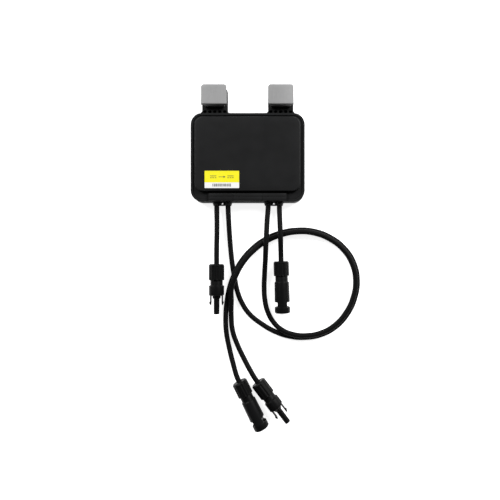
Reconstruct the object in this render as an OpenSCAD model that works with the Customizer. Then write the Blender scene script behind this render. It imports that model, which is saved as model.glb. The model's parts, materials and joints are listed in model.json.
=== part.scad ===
// Module-level DC power optimizer: a flat sealed box that hangs from a panel
// frame by two steel clips, with four single-core cables and their connectors.
// Millimetres. The box lies on its back: +Z points out of its front cover and
// +Y towards the clips. The origin is on the resting surface, under the middle
// of the box with its clips and cable glands.

/* [Box] */
// Width of the box
box_w = 140; // [138:1:144]
// Length of the box from the cable side to the clip side
box_l = 108.8; // [107.4:0.2:110]
// Corner radius of the box, seen from the front
box_corner = 14; // [12:1:18]
// Height of the rear housing's rim above its back
rim_z = 16; // [16:0.5:16.5]
// Height of the raised front panel above the back
panel_z = 20; // [19.5:0.5:20.5]
// Wall thickness of the rim around the front cover
wall_t = 3; // [2.5:0.5:3]
// Thickness of the floor and of the front cover
skin_t = 2.5; // [2:0.5:3]

/* [Front panel] */
// Distance of the raised panel from the box's left and right sides
panel_side = 5.5; // [5:0.5:7]
// Distance of the raised panel from the clip side
panel_top = 5.5; // [4.5:0.5:6]
// Distance of the raised panel from the cable side
panel_bottom = 12; // [11.5:0.5:13]
// Corner radius of the raised panel
panel_corner = 10; // [8:1:11]

/* [Clips] */
// Distance of each clip from the middle of the box
clip_x = 40.5; // [39:0.5:42]
// Width of a clip
clip_w = 31; // [31:0.5:33]
// Reach of the clips beyond the box
clip_reach = 32.1; // [32.1:0.5:35.6]
// Height of a clip's front plate above the back
clip_z = 22.9; // [22.5:0.1:23.5]
// Length of a clip's front plate
plate_l = 24; // [23:0.5:24]
// Thickness of the clip steel
steel_t = 1.2; // [1:0.1:1.2]

/* [Cables] */
// Diameter of a cable
cable_d = 6.4; // [6:0.1:6.4]
// Distance of each cable pair from the middle of the box
pair_x = 32; // [30:0.5:34]
// Distance between the two cables of a pair
pair_pitch = 14; // [13:0.5:15]
// Reach of the cable glands beyond the box
gland_reach = 4.1; // [4.1:0.1:5.5]
// Height of the cable entries above the back
cable_z = 8; // [7.6:0.1:8]

/* [Connectors] */
// Diameter of a connector nut, and of a socket's flange
nut_d = 19; // [18.6:0.1:19.2]
// Diameter of the plug's tube
tube_d = 7; // [6.6:0.1:7]

/* [Hidden] */
$fn = 64;
slop = 0.05;
total_l = box_l + clip_reach + gland_reach;
y_cable = gland_reach - total_l / 2;
y_clip = y_cable + box_l;
y_mid = (y_cable + y_clip) / 2;
y_top = total_l / 2;
cover_t = 1.4;
cover_top = rim_z - 1;
cover_z = cover_top - cover_t;
seal_t = 0.7;
shelf_w = 2.5;
inner_w = box_w - 2 * wall_t;
inner_l = box_l - 2 * wall_t;
inner_corner = box_corner - wall_t;
panel_w = box_w - 2 * panel_side;
panel_l = box_l - panel_top - panel_bottom;
panel_y = y_cable + panel_bottom + panel_l / 2;
strip_y = y_cable + 0.7;
strip_l = 9.2;
strip_z = 19;
strip_half = 47.4;
strip_split = 17.85;
strip_gap = 0.3;
gland_r = 4;
gland_slot = 3.7;
gland_x = pair_pitch / 2;
wall_deep = wall_t + shelf_w;
board_z = 5;
board_t = 1.6;
board_w = 120;
board_l = 76;
board_y = -6;
board_top = board_z + board_t;
terminal_y = -52;
post_x = 54;
post_y = 32;
hook_back = 6;
hook_front = 14.5;
rail_w = 1.9;
rail_z = 17;
rail_y = y_top - 20.5;
lip_z = hook_front + steel_t + 0.1;
pocket_pitch = 6.1;
pocket_d = 3.6;
black = "#242628";
rubber = "#1b1c1d";
steel = "#b4b7ba";
brass = "#b58f4a";

// Height of the connector axes: the nuts lie on the resting surface
axis_z = nut_d / 2;

// Where each connector starts, at its nut's mouth, and its heading in degrees
SHORT_PLUG = [[-39, -145, axis_z], -90];
SHORT_SOCKET = [[41.1, -141.5, axis_z], -88.4];
LONG_SOCKET = [[-11, -291, axis_z], -63.7];
LONG_PLUG = [[12.1, -291.7, axis_z], -53];

// Routes of the four cables between their glands and their connectors
SHORT_PLUG_ROUTE = [
    [-39, -78, 8], [-38.9, -84, 8.1], [-38.8, -90, 8.2], [-38.7, -96, 8.4],
    [-38.7, -102, 8.6], [-38.7, -108, 8.8], [-38.8, -114, 9], [-38.9, -120, 9.2],
    [-39, -127, 9.4], [-39, -134, 9.5]
];
SHORT_SOCKET_ROUTE = [
    [39, -78, 8.4], [39.2, -83.5, 9.8], [39.4, -89, 11.6], [39.6, -94.5, 13.3],
    [39.8, -100, 14.7], [40, -105.5, 15.7], [40.2, -111, 15.7], [40.4, -117, 14.7],
    [40.6, -123, 13], [40.8, -129.5, 11]
];
LONG_SOCKET_ROUTE = [
    [-24.3, -92, 6.6], [-23.3, -112, 4.2], [-21.8, -131, 3.2], [-19.8, -148, 3.2],
    [-17.2, -163, 3.2], [-13.9, -179.2, 3.2], [-8.1, -193.9, 3.2], [1.2, -207.7, 3.2],
    [15.8, -219.7, 3.2], [33.2, -229.8, 3.2], [52, -236, 3.2], [72, -237.4, 3.2],
    [92, -233.7, 3.2], [110, -223.9, 3.2], [124.5, -208, 3.2], [134.1, -187, 3.2],
    [137.1, -165, 3.2], [132.6, -143.4, 3.2], [120.5, -124.8, 3.2], [103.3, -111.5, 3.2],
    [82.8, -103.8, 3.2], [61, -102.3, 3.2], [40, -106, 3.2], [21, -114, 3.4],
    [4.7, -126.2, 5.8], [-8, -141.1, 9.3], [-16.7, -157.2, 10.4], [-23, -174, 8],
    [-26.9, -192, 3.8], [-28.4, -210, 3.2], [-28, -228, 3.2], [-24.6, -248, 3.2],
    [-18.9, -269, 6.7]
];
LONG_PLUG_ROUTE = [
    [23.7, -92, 11.8], [23, -108, 15.8], [22.3, -123, 15.9], [21.6, -139, 11.8],
    [20.5, -157, 6.2], [19.8, -174, 3.4], [20.8, -190.4, 3.2], [24.4, -205.1, 3.2],
    [31.4, -217.8, 3.9], [42, -227.1, 7.1], [56, -232.5, 8.9], [72, -233.9, 9.3],
    [91, -230.4, 9.3], [107.6, -221.2, 9.3], [121.4, -206, 9.3], [130.7, -186.3, 9.3],
    [133.6, -165, 9.3], [129.4, -144.8, 9.3], [118.2, -127, 9.3], [101.8, -114.2, 9.3],
    [82, -106.6, 9.3], [61.3, -105.1, 9.3], [41, -108.9, 9.2], [22.5, -116.8, 9.3],
    [6.6, -128.8, 12], [-5.4, -142.8, 15.4], [-14.1, -158.4, 16.5], [-20, -174.5, 14.3],
    [-20.9, -192, 8], [-21.5, -210, 3.5], [-20, -228, 3.2], [-14, -246, 3.2],
    [-5, -264.4, 4.6], [3.5, -279, 8.2]
];

// ---- shared shapes ----

// Rounded rectangle centred on the origin
module rounded_rect(w, l, r) {
    square([w - 2 * r, l], center = true);
    square([w, l - 2 * r], center = true);
    for (x = [-1, 1], y = [-1, 1])
        translate([x * (w / 2 - r), y * (l / 2 - r)])
            circle(r);
}

// Rounded slab centred on [x, y], from height z upwards
module slab(w, l, r, t, at = [0, 0, 0])
    translate(at)
        linear_extrude(t)
            rounded_rect(w, l, r);

// Cuboid between two opposite corners
module span(low, high)
    translate(low)
        cube(high - low);

// Round bar along +X from u0 to u1
module bar(r, u0, u1)
    translate([u0, 0, 0])
        rotate([0, 90, 0])
            cylinder(r = r, h = u1 - u0);

// Cone along +X from radius r0 at u0 to r1 at u1
module cone(r0, r1, u0, u1)
    translate([u0, 0, 0])
        rotate([0, 90, 0])
            cylinder(r1 = r0, r2 = r1, h = u1 - u0);

// Round bar along -Y from y0 down to y1
module rod(r, y0, y1)
    translate([0, y0, 0])
        rotate([90, 0, 0])
            cylinder(r = r, h = y0 - y1);

// Puts a shape drawn along +X at a connector's place and heading
module at_connector(spot)
    translate(spot[0])
        rotate([0, 0, spot[1]])
            children();

// ---- cable sweep ----

// Straight start of a cable, from its terminal to just outside its gland
function lead_out(x) = [[x, terminal_y, cable_z], [x, y_cable - gland_reach - 0.5, cable_z]];

// Straight end of a cable, along its connector's axis
function lead_in(spot) =
    let (axis = [cos(spot[1]), sin(spot[1]), 0])
    [for (u = [-5, 0, 16]) spot[0] + u * axis];

function unit(v) = v / norm(v);
function along(p, i) = unit(p[min(i + 1, len(p) - 1)] - p[max(i - 1, 0)]);
function ring(p, i, r, n) =
    let (t = along(p, i), side = unit(cross([0, 0, 1], t)), up = cross(t, side))
    [for (k = [0:n - 1]) p[i] + r * (cos(360 * k / n - 90) * side + sin(360 * k / n - 90) * up)];

// Tube of radius r along the route p, with a ring of n corners at each point
module tube(p, r, n = 10) {
    count = len(p);
    corners = [for (i = [0:count - 1]) each ring(p, i, r, n)];
    sides = [for (i = [0:count - 2], k = [0:n - 1])
        let (a = i * n + k, b = i * n + (k + 1) % n)
        each [[a, b, a + n], [b, b + n, a + n]]];
    first = [for (k = [n - 1:-1:0]) k];
    last = [for (k = [0:n - 1]) (count - 1) * n + k];
    color(rubber)
        polyhedron(corners, concat([first], sides, [last]), convexity = 10);
}

// Cable from its gland at x, along its route and into its connector
module cable(x, route, spot)
    tube(concat(lead_out(x), route, lead_in(spot)), cable_d / 2);

// ---- box ----

// Opening for one cable pair through the cable-side wall
module gland_opening(side)
    translate([side * pair_x, 0, cable_z]) {
        for (x = [-gland_x, gland_x])
            translate([x, 0, 0])
                rod(gland_r, y_cable + wall_deep + 1, y_cable - 1);
        span([-gland_x, y_cable - 1, -gland_slot], [gland_x, y_cable + wall_deep + 1, gland_slot]);
    }

// Socket in the clip-side wall for a hanger's tongue
module hanger_socket(side)
    span([side * clip_x - 12.05, y_clip - 4, 7.45], [side * clip_x + 12.05, y_clip + 1, 11.95]);

module rear_housing() color(black) {
    deep_w = inner_w - 2 * shelf_w;
    deep_l = inner_l - 2 * shelf_w;
    difference() {
        slab(box_w, box_l, box_corner, rim_z, [0, y_mid, 0]);
        slab(deep_w, deep_l, inner_corner - shelf_w, rim_z, [0, y_mid, skin_t]);
        slab(inner_w, inner_l, inner_corner, rim_z, [0, y_mid, cover_z - seal_t]);
        for (side = [-1, 1]) {
            gland_opening(side);
            hanger_socket(side);
        }
    }
    for (x = [-post_x, post_x], y = [-post_y, post_y])
        translate([x, board_y + y, skin_t - 0.5])
            difference() {
                cylinder(r = 3.2, h = board_z - skin_t + 0.5);
                translate([0, 0, 0.8])
                    cylinder(r = 1.25, h = board_z);
            }
}

module front_cover() color(black) difference() {
    union() {
        slab(inner_w - 0.4, inner_l - 0.4, inner_corner - 0.2, cover_t, [0, y_mid, cover_z]);
        slab(panel_w, panel_l, panel_corner, panel_z - cover_z, [0, panel_y, cover_z]);
    }
    slab(panel_w - 5, panel_l - 5, panel_corner - 2.5, panel_z - cover_z - skin_t + 1,
        [0, panel_y, cover_z - 1]);
}

module cover_seal() color(rubber) difference() {
    slab(inner_w - 0.4, inner_l - 0.4, inner_corner - 0.2, seal_t, [0, y_mid, cover_z - seal_t]);
    slab(inner_w - 2 * shelf_w, inner_l - 2 * shelf_w, inner_corner - shelf_w, 2,
        [0, y_mid, cover_z - 1.5]);
}

module rating_label() color("gold")
    slab(42, 21, 0.8, 0.25, [-31, y_cable + 26.3, panel_z]);

// Snap-on cover from x0 to x1 over the cable-side edge
module strip_cover(x0, x1) color(black) {
    lip_y = y_cable + wall_t + 0.2;
    span([x0, lip_y, cover_top], [x1, strip_y + strip_l, strip_z]);
    span([x0, strip_y, rim_z], [x1, lip_y, strip_z]);
}

module cable_cover_left() strip_cover(-strip_half, -strip_split - strip_gap / 2);
module terminal_cover() strip_cover(-strip_split + strip_gap / 2, strip_split - strip_gap / 2);
module cable_cover_right() strip_cover(strip_split + strip_gap / 2, strip_half);

// Twin rubber gland with a flange inside the wall and two tapering noses
module gland(side) color(rubber) {
    neck = gland_slot - slop;
    inside = y_cable + wall_deep + slop;
    translate([side * pair_x, 0, cable_z])
        difference() {
            union() {
                for (x = [-gland_x, gland_x])
                    translate([x, 0, 0]) {
                        rod(gland_r - slop, inside + 1, y_cable - 0.5);
                        translate([0, y_cable, 0])
                            rotate([90, 0, 0])
                                cylinder(r1 = 5.6, r2 = 4.2, h = gland_reach);
                        rod(gland_r + 0.8, inside + 2, inside);
                    }
                span([-gland_x, y_cable - 0.5, -neck], [gland_x, inside + 1, neck]);
                span([-gland_x, y_cable - gland_reach, -2.6], [gland_x, y_cable, 2.6]);
                span([-gland_x, inside, -4.4], [gland_x, inside + 2, 4.4]);
            }
            for (x = [-gland_x, gland_x])
                translate([x, 0, 0])
                    rod(cable_d / 2 + slop, inside + 3, y_cable - gland_reach - 1);
            translate([0, y_cable, -5])
                linear_extrude(10)
                    polygon([[-1.8, -3], [1.8, -3], [0, -0.4]]);
        }
}

module gland_left() gland(-1);
module gland_right() gland(1);

// ---- clips ----

// Concave corner where a hanger spreads onto the box wall
module flare(side)
    translate([side * clip_w / 2, y_clip, hook_back])
        mirror([side < 0 ? 1 : 0, 0, 0])
            difference() {
                span([-1, 0, 0], [2.5, 2.5, hook_front - hook_back]);
                translate([2.8, 2.8, -1])
                    cylinder(r = 2.5, h = 20);
            }

// Plastic hanger: a tongue with side rails, and five blind pockets at its root
module hanger(side) color(black) translate([side * clip_x, 0, 0]) difference() {
    union() {
        span([-clip_w / 2, y_clip, hook_back], [clip_w / 2, y_top - 3, hook_front]);
        span([-12, y_clip - 3.9, 7.5], [12, y_clip + 1, 11.9]);
        for (x = [-1, 1]) {
            flare(x);
            mirror([x < 0 ? 1 : 0, 0, 0]) {
                span([clip_w / 2 - rail_w, rail_y, hook_front - 1], [clip_w / 2, y_top - 3, rail_z]);
                span([clip_w / 2 - rail_w - 1, rail_y, lip_z],
                    [clip_w / 2 - rail_w + 0.5, y_top - 3, rail_z]);
            }
        }
    }
    for (i = [-2:2])
        translate([i * pocket_pitch, y_clip + 2.4, hook_front - 5])
            cylinder(r = pocket_d / 2, h = 6);
}

module hanger_left() hanger(-1);
module hanger_right() hanger(1);

// Quarter bend in a strip of steel, round the X axis, from -Y towards +Z
module bend(w, r)
    translate([-w / 2, 0, 0])
        rotate([0, 90, 0])
            difference() {
                cylinder(r = r, h = w);
                translate([0, 0, -1])
                    cylinder(r = r - steel_t, h = w + 2);
                translate([-2 * r, 0, -1])
                    cube([4 * r, 2 * r, w + 2]);
                translate([0, -2 * r, -1])
                    cube([2 * r, 4 * r, w + 2]);
            }

// Steel clip: front plate, web and rear leg that slides between the rails
module clip(side) color(steel) translate([side * clip_x, 0, 0]) {
    web_y = y_top - plate_l - 0.1;
    turn = 2;
    leg_w = clip_w - 2 * rail_w - 0.2;
    neck_w = leg_w - 2.2;
    plate_bottom = web_y + turn;
    difference() {
        span([-clip_w / 2, plate_bottom, clip_z - steel_t], [clip_w / 2, y_top, clip_z]);
        for (x = [-1, 1])
            translate([x * (clip_w / 2 - 3.5), y_top - 3.5, 0])
                difference() {
                    span([x < 0 ? -5 : 0, 0, 0], [x < 0 ? 0 : 5, 5, 30]);
                    cylinder(r = 3.5, h = 30);
                }
    }
    translate([0, plate_bottom, clip_z - turn])
        bend(clip_w, turn);
    span([-clip_w / 2, web_y, rail_z + 0.3], [clip_w / 2, web_y + steel_t, clip_z - turn]);
    span([-neck_w / 2, web_y, hook_front + turn],
        [neck_w / 2, web_y + steel_t, rail_z + 0.4]);
    translate([0, plate_bottom, hook_front + turn])
        mirror([0, 0, 1])
            bend(neck_w, turn);
    span([-neck_w / 2, plate_bottom, hook_front],
        [neck_w / 2, rail_y + 1, hook_front + steel_t]);
    span([-leg_w / 2, rail_y + 0.5, hook_front],
        [leg_w / 2, y_top - 4.5, hook_front + steel_t]);
}

module clip_left() clip(-1);
module clip_right() clip(1);

// Leaf spring on the rear leg, which presses a frame flange to the front plate
module frame_spring(side) color(steel)
    translate([side * clip_x, y_top - 6.5, hook_front + steel_t + 0.95]) {
        root_r = 0.9;
        leaf_w = 10;
        translate([-leaf_w / 2, 0, 0])
            rotate([0, 90, 0])
                cylinder(r = root_r, h = leaf_w);
        rotate([-12, 0, 0]) {
            span([-leaf_w / 2, -12, 0], [leaf_w / 2, 0, 0.8]);
            translate([-leaf_w / 2, -12, 0.2])
                rotate([0, 90, 0])
                    cylinder(r = 0.6, h = leaf_w);
        }
    }

module frame_spring_left() frame_spring(-1);
module frame_spring_right() frame_spring(1);

// ---- electronics ----

module circuit_board() color("darkgreen") difference() {
    slab(board_w, board_l, 4, board_t, [0, board_y, board_z]);
    for (x = [-post_x, post_x], y = [-post_y, post_y])
        translate([x, board_y + y, board_z - 1])
            cylinder(r = 1.6, h = 5);
}

module board_screws() color(steel)
    for (x = [-post_x, post_x], y = [-post_y, post_y])
        translate([x, board_y + y, board_top]) {
            cylinder(r = 2.8, h = 1.8);
            translate([0, 0, -3])
                cylinder(r = 1.2, h = 3.5);
        }

module heat_spreader() color("silver")
    slab(92, 52, 3, 1.5, [0, board_y, skin_t]);

module thermal_pad() color("gray")
    slab(90, 50, 3, 1, [0, board_y, skin_t + 1.5]);

// Places for the two wound inductors
module at_inductors()
    for (x = [-17, 13])
        translate([x, 6, board_top])
            children();

module inductor_cores() color("dimgray") at_inductors() {
    cylinder(r = 11, h = 1.8);
    cylinder(r = 5, h = 9.4);
    translate([0, 0, 7.6])
        cylinder(r = 11, h = 1.8);
}

module inductor_coils() color(brass) at_inductors()
    translate([0, 0, 1.9])
        difference() {
            cylinder(r = 9.8, h = 5.6);
            translate([0, 0, -1])
                cylinder(r = 5.1, h = 8);
        }

module capacitors() color("#4b5a70")
    for (i = [0:3], side = [-1, 1])
        translate([side * 44, -18 + 12 * i, board_top])
            cylinder(r = 4.2, h = 10);

module power_transistors() color("#303234")
    for (x = [-30, -12, 6, 24])
        span([x, -24, board_top], [x + 10, -15, board_top + 2.3]);

module bypass_diode() color("#3a3c3e")
    span([-6, -37, board_top], [6, -29, board_top + 4]);

module control_chip() color("#303234")
    span([-7, 20, board_top], [3, 30, board_top + 1.2]);

module radio_module() color("silver")
    span([20, 20, board_top], [38, 31, board_top + 2.8]);

module cable_terminals() color(brass)
    for (side = [-1, 1], pair = [-1, 1])
        translate([pair * pair_x + side * gland_x, 0, cable_z]) {
            difference() {
                rod(4, -44, -56);
                rod(cable_d / 2 + slop, terminal_y + slop, terminal_y - 5);
            }
            span([-3, -45, board_top - cable_z], [3, -37, board_top - cable_z + 1.6]);
        }

// ---- cables ----

module short_plug_cable() cable(-pair_x - gland_x, SHORT_PLUG_ROUTE, SHORT_PLUG);
module long_socket_cable() cable(-pair_x + gland_x, LONG_SOCKET_ROUTE, LONG_SOCKET);
module long_plug_cable() cable(pair_x - gland_x, LONG_PLUG_ROUTE, LONG_PLUG);
module short_socket_cable() cable(pair_x + gland_x, SHORT_SOCKET_ROUTE, SHORT_SOCKET);

// ---- connectors, drawn along +X from the nut's mouth ----

nut_r = nut_d / 2;
tube_r = tube_d / 2;
thread_r = 7.3;
contact_r = 2.6;
spigot_u = 9;
latch_u = 30.5;
latch_v = 7.15;

// Ribbed nut with a mouth for the cable and a cavity over the housing's thread
module connector_nut(l) color(black) difference() {
    union() {
        cone(nut_r - 1.3, nut_r, 0, 1.3);
        bar(nut_r, 1.3, l - 0.4);
        cone(nut_r, nut_r - 0.4, l - 0.4, l);
    }
    bar(3.6, -1, 4);
    bar(thread_r, 3, l + 1);
    for (k = [0:11])
        rotate([30 * k + 15, 0, 0])
            translate([0, nut_r + 0.2, 0])
                bar(0.8, 2.2, l + 1);
}

// Clamping collar between the nut and the housing
module connector_collar() color("#55585c") difference() {
    bar(7, 3.1, 8.8);
    bar(cable_d / 2 + 0.2, 2, 10);
}

// Rubber bush that seals the cable
module connector_seal() color(rubber) difference() {
    bar(4.95, 9.3, 20);
    bar(cable_d / 2 + slop, 8, 21);
}

// Threaded spigot and bores that both housings share, cut from a solid body
module housing_bores(neck_u, front_u) {
    bar(5, spigot_u - 1, neck_u + 4);
    bar(contact_r, neck_u, front_u);
}

module plug_housing() color(black) difference() {
    union() {
        bar(thread_r - slop, spigot_u, 21);
        bar(7.6, 20.2, 27);
        cone(8.6, nut_r - 0.1, 26.2, 27.2);
        bar(nut_r - 0.1, 27.2, 38.4);
        cone(nut_r - 0.1, 8.8, 38.4, 39);
        bar(4.9, 38, 39.6);
        bar(3.9, 39, 41);
        bar(4.9, 40.9, 41.6);
        cone(4.9, tube_r, 41.6, 43.5);
        bar(tube_r, 43, 61.7);
        cone(tube_r, tube_r - 0.5, 61.7, 62.2);
    }
    housing_bores(20, 46);
    bar(2.2, 45, 63);
    for (side = [-1, 1])
        rotate([side < 0 ? 180 : 0, 0, 0])
            span([29, 5.2, -3.1], [40, 10, 3.1]);
}

// Latch arm of a plug, with a barb that hooks behind a socket's flange
module latch_arm(side) color(black) rotate([side < 0 ? 180 : 0, 0, 0]) {
    translate([latch_u, latch_v, -2.9])
        cylinder(r = 1.2, h = 5.8);
    span([latch_u, latch_v - 0.65, -2.9], [48.2, latch_v + 0.65, 2.9]);
    translate([0, 0, -2.9])
        linear_extrude(5.8)
            polygon([[46.7, 7], [46.7, 8.7], [48, 8.7], [50.7, 7.5], [50.7, 6.9], [48, 6.5]]);
}

module plug_ring() color(rubber)
    translate([40.25, 0, 0])
        rotate([0, 90, 0])
            rotate_extrude()
                translate([4.5, 0])
                    circle(0.55);

module plug_contact() color(brass) difference() {
    union() {
        bar(2.4, 16.6, 25);
        bar(2.5, 25, 44.5);
        bar(2.1, 44, 58);
    }
    bar(1.55, 46, 59);
}

module socket_housing() color(black) difference() {
    union() {
        bar(thread_r - slop, spigot_u, 19);
        bar(7.75, 18.4, 26);
        cone(8.4, 9.1, 25, 26);
        cone(9.1, 9.3, 26, 50.4);
        intersection() {
            bar(nut_r - 0.1, 50, 57);
            span([49, -5.85, -10], [58, 5.85, 10]);
        }
        bar(nut_r, 56.5, 63.4);
        cone(nut_r, 8.7, 63.4, 64.2);
    }
    housing_bores(20, 41);
    bar(3.6, 40, 60);
    bar(5.4, 59.2, 65);
    for (side = [-1, 1])
        rotate([side < 0 ? 180 : 0, 0, 0])
            span([56, 5.6, -3.1], [65, 8.5, 3.1]);
}

module socket_contact() color(brass) {
    bar(2.4, 16.6, 25);
    bar(2.5, 24.5, 40);
    bar(1.5, 39.5, 57.4);
    cone(1.5, 0.9, 57.4, 58);
}

// ---- nodes ----

rear_housing();
front_cover();
cover_seal();
rating_label();
cable_cover_left();
terminal_cover();
cable_cover_right();
gland_left();
gland_right();
hanger_left();
hanger_right();
clip_left();
clip_right();
frame_spring_left();
frame_spring_right();
circuit_board();
board_screws();
thermal_pad();
heat_spreader();
inductor_cores();
inductor_coils();
capacitors();
power_transistors();
bypass_diode();
control_chip();
radio_module();
cable_terminals();
short_plug_cable();
short_socket_cable();
long_socket_cable();
long_plug_cable();
at_connector(SHORT_PLUG) plug_housing();  // short_plug_housing
at_connector(SHORT_PLUG) connector_nut(20);  // short_plug_nut
at_connector(SHORT_PLUG) connector_collar();  // short_plug_collar
at_connector(SHORT_PLUG) connector_seal();  // short_plug_seal
at_connector(SHORT_PLUG) plug_contact();  // short_plug_contact
at_connector(SHORT_PLUG) plug_ring();  // short_plug_ring
at_connector(SHORT_PLUG) latch_arm(1);  // short_plug_latch_a
at_connector(SHORT_PLUG) latch_arm(-1);  // short_plug_latch_b
at_connector(LONG_PLUG) plug_housing();  // long_plug_housing
at_connector(LONG_PLUG) connector_nut(20);  // long_plug_nut
at_connector(LONG_PLUG) connector_collar();  // long_plug_collar
at_connector(LONG_PLUG) connector_seal();  // long_plug_seal
at_connector(LONG_PLUG) plug_contact();  // long_plug_contact
at_connector(LONG_PLUG) plug_ring();  // long_plug_ring
at_connector(LONG_PLUG) latch_arm(1);  // long_plug_latch_a
at_connector(LONG_PLUG) latch_arm(-1);  // long_plug_latch_b
at_connector(SHORT_SOCKET) socket_housing();  // short_socket_housing
at_connector(SHORT_SOCKET) connector_nut(18.2);  // short_socket_nut
at_connector(SHORT_SOCKET) connector_collar();  // short_socket_collar
at_connector(SHORT_SOCKET) connector_seal();  // short_socket_seal
at_connector(SHORT_SOCKET) socket_contact();  // short_socket_contact
at_connector(LONG_SOCKET) socket_housing();  // long_socket_housing
at_connector(LONG_SOCKET) connector_nut(18.2);  // long_socket_nut
at_connector(LONG_SOCKET) connector_collar();  // long_socket_collar
at_connector(LONG_SOCKET) connector_seal();  // long_socket_seal
at_connector(LONG_SOCKET) socket_contact();  // long_socket_contact
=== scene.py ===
"""A solar panel's power optimizer: a flat black box with two steel clips and four cables.

The CAD model is the frame. This script builds the visible surfaces around it, in metres.
Sizes in the functions below are millimetres, and MM turns them into metres.
"""

import json
import math
import random

import bmesh
import bpy
from mathutils import Matrix, Vector


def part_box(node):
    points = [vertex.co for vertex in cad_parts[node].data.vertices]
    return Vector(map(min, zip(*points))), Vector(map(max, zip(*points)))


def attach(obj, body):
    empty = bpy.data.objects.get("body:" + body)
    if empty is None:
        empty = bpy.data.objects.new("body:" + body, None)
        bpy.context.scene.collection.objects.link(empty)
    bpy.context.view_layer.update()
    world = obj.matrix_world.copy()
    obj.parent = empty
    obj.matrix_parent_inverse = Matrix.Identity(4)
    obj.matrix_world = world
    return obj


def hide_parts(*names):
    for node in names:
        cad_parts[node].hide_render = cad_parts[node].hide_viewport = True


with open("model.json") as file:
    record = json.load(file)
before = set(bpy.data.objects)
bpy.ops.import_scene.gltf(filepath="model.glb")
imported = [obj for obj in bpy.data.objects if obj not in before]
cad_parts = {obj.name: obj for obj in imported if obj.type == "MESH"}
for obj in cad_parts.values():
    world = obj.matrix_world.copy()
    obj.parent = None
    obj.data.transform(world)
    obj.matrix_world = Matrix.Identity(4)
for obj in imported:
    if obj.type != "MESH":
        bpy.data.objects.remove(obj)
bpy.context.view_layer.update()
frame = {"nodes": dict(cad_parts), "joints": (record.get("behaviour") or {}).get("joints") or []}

MM = 0.001
NODES = frame["nodes"]
JOINTS = {joint["name"]: joint for joint in frame["joints"]}


# ---------------------------------------------------------------- camera

def make_camera():
    """The camera looks straight down on the box, from where its clips are at the top."""
    data = bpy.data.cameras.new("camera")
    data.lens = 28
    data.sensor_width = 36
    data.shift_x = -0.0508
    data.shift_y = 0.016
    data.clip_start = 0.01
    data.clip_end = 10
    camera = bpy.data.objects.new("camera", data)
    camera.location = (0.034, -0.1375, 0.4924)
    bpy.context.scene.collection.objects.link(camera)
    bpy.context.scene.camera = camera


make_camera()


# ---------------------------------------------------------------- materials

class Graph:
    """A material's node tree, with short calls to add and join nodes."""

    def __init__(self, name):
        self.material = bpy.data.materials.new(name)
        self.material.use_nodes = True
        self.tree = self.material.node_tree
        self.shader = self.tree.nodes["Principled BSDF"]

    def node(self, kind, inputs=None, **settings):
        made = self.tree.nodes.new(kind)
        for key, value in settings.items():
            setattr(made, key, value)
        for key, value in (inputs or {}).items():
            self.set(made.inputs[key], value)
        return made

    def set(self, socket, value):
        if isinstance(value, bpy.types.NodeSocket):
            self.tree.links.new(value, socket)
        else:
            socket.default_value = value

    def shade(self, **inputs):
        for key, value in inputs.items():
            self.set(self.shader.inputs[key.replace("_", " ").title().replace("Ior", "IOR")], value)

    def place(self, scale=(1, 1, 1)):
        """The object's own coordinates, stretched by scale."""
        coords = self.node("ShaderNodeTexCoord").outputs["Object"]
        return self.node("ShaderNodeMapping", {"Vector": coords, "Scale": scale}).outputs[0]

    def noise(self, scale, detail=3, stretch=(1, 1, 1), rough=0.5):
        inputs = {
            "Vector": self.place(stretch), "Scale": scale, "Detail": detail, "Roughness": rough,
        }
        return self.node("ShaderNodeTexNoise", inputs).outputs["Fac"]

    def cells(self, scale, stretch=(1, 1, 1)):
        inputs = {"Vector": self.place(stretch), "Scale": scale}
        return self.node("ShaderNodeTexVoronoi", inputs).outputs["Distance"]

    def spread(self, value, low, high, to_low, to_high):
        inputs = {
            "Value": value, "From Min": low, "From Max": high, "To Min": to_low, "To Max": to_high,
        }
        return self.node("ShaderNodeMapRange", inputs).outputs["Result"]

    def mix(self, share, a, b):
        made = self.node("ShaderNodeMix", data_type="RGBA")
        for socket, value in (
            (made.inputs["Factor"], share), (made.inputs[6], a), (made.inputs[7], b),
        ):
            self.set(socket, value)
        return made.outputs[2]

    def math(self, operation, a, b=0.0):
        made = self.node("ShaderNodeMath", operation=operation)
        self.set(made.inputs[0], a)
        self.set(made.inputs[1], b)
        return made.outputs[0]

    def edges(self, low=0.52, high=0.62):
        """1 along convex edges, 0 elsewhere."""
        pointed = self.node("ShaderNodeNewGeometry").outputs["Pointiness"]
        return self.spread(pointed, low, high, 0, 1)

    def bump(self, *layers):
        """Adds bumps, each a (height, strength, distance in metres)."""
        normal = None
        for height, strength, distance in layers:
            inputs = {"Height": height, "Strength": strength, "Distance": distance}
            if normal is not None:
                inputs["Normal"] = normal
            normal = self.node("ShaderNodeBump", inputs).outputs["Normal"]
        self.set(self.shader.inputs["Normal"], normal)


def grey(level, tint=(1, 1, 1)):
    return tuple(level * t for t in tint) + (1,)


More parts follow.
